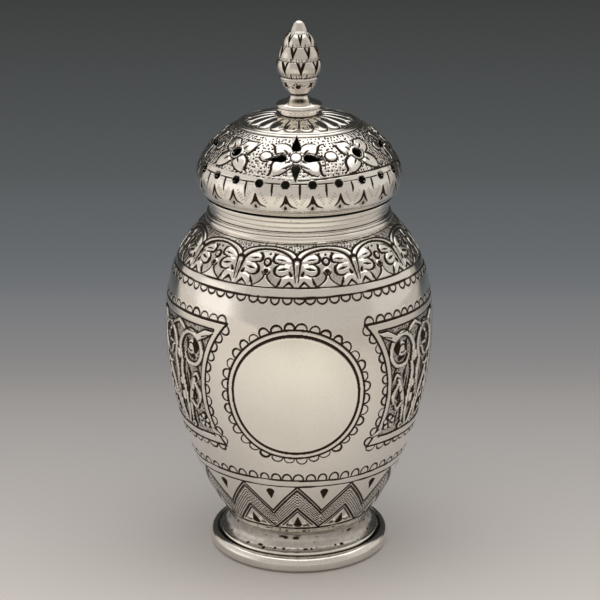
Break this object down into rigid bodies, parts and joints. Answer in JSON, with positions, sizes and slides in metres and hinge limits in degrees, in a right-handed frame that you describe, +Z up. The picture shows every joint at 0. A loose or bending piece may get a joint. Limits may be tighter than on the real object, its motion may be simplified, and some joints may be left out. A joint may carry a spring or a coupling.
{
  "type": "pepper pot",
  "caption": "Vase-shaped silver pepper pot on a round moulded foot, with a pierced domed pull-off cover and a pineapple finial.",
  "frame": {"origin": "centre of the foot ring's flat resting face", "axes": "+Z up along the pot's axis of revolution; the front cartouche looks along -Y; +X to the right of someone who looks at the front"},
  "size_m": [0.0518, 0.0518, 0.105],
  "materials": {
    "polished_silver": "polished silver",
    "chased_silver": "chased silver with dark recesses",
    "cast_silver": "cast silver with dark recesses",
    "inner_silver": "dull unpolished silver"
  },
  "bodies": {
    "pot": {"foot_ring": "polished_silver", "foot_collar": "polished_silver", "body_shell": "chased_silver", "neck_moulding": "polished_silver", "neck_band": "polished_silver"},
    "cover": {"cover_dome": "chased_silver", "cover_rim": "polished_silver", "cover_bezel": "inner_silver", "finial_pin": "inner_silver", "finial_collet": "polished_silver", "finial_stem": "polished_silver", "finial_cup": "cast_silver", "finial_bud": "cast_silver"}
  },
  "joints": [
    {"name": "cover_lift", "type": "slide", "parent": "pot", "child": "cover", "axis": [0, 0, 1], "range_m": [0, 0.03]}
  ]
}
